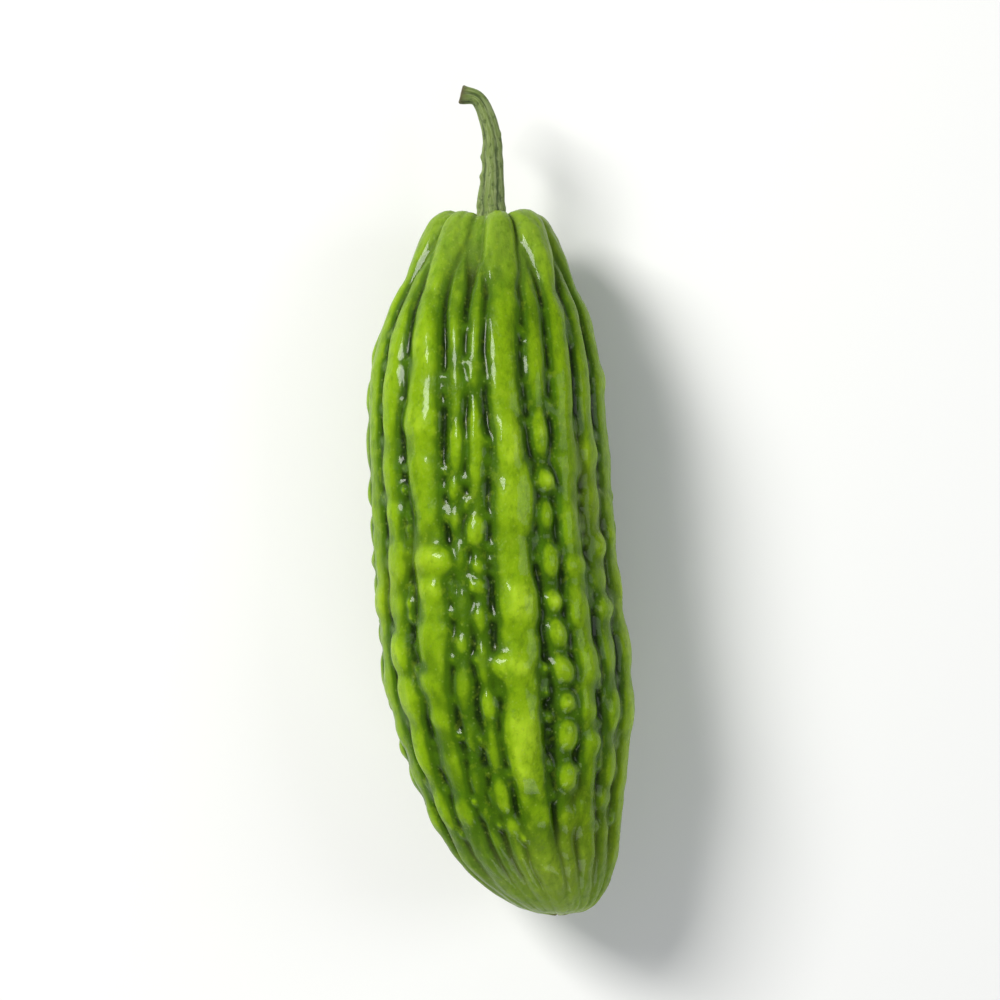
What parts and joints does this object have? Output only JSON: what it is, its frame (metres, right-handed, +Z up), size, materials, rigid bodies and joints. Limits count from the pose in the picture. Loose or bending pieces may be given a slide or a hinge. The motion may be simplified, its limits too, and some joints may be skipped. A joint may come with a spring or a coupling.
{
  "type": "bitter gourd",
  "caption": "Bitter gourd as picked, lying on its side: ribbed and beaded spindle-shaped green fruit with a short hooked stem cut at the end.",
  "frame": {"origin": "on the surface that the gourd lies on, under the middle of its box", "axes": "+Y along the fruit from the blossom tip to the stem, +Z up, with the long smooth main ridge uppermost, +X to the right of someone looking down with the stem away from them"},
  "size_m": [0.0498, 0.1542, 0.0472],
  "materials": {
    "fruit_skin": "waxy, moist, yellow-green on the ridges and deep green in the valleys",
    "stem_skin": "dull grey-green, ribbed, browned at the cut end"
  },
  "bodies": {
    "root": {"fruit": "fruit_skin", "stem": "stem_skin"}
  },
  "joints": []
}
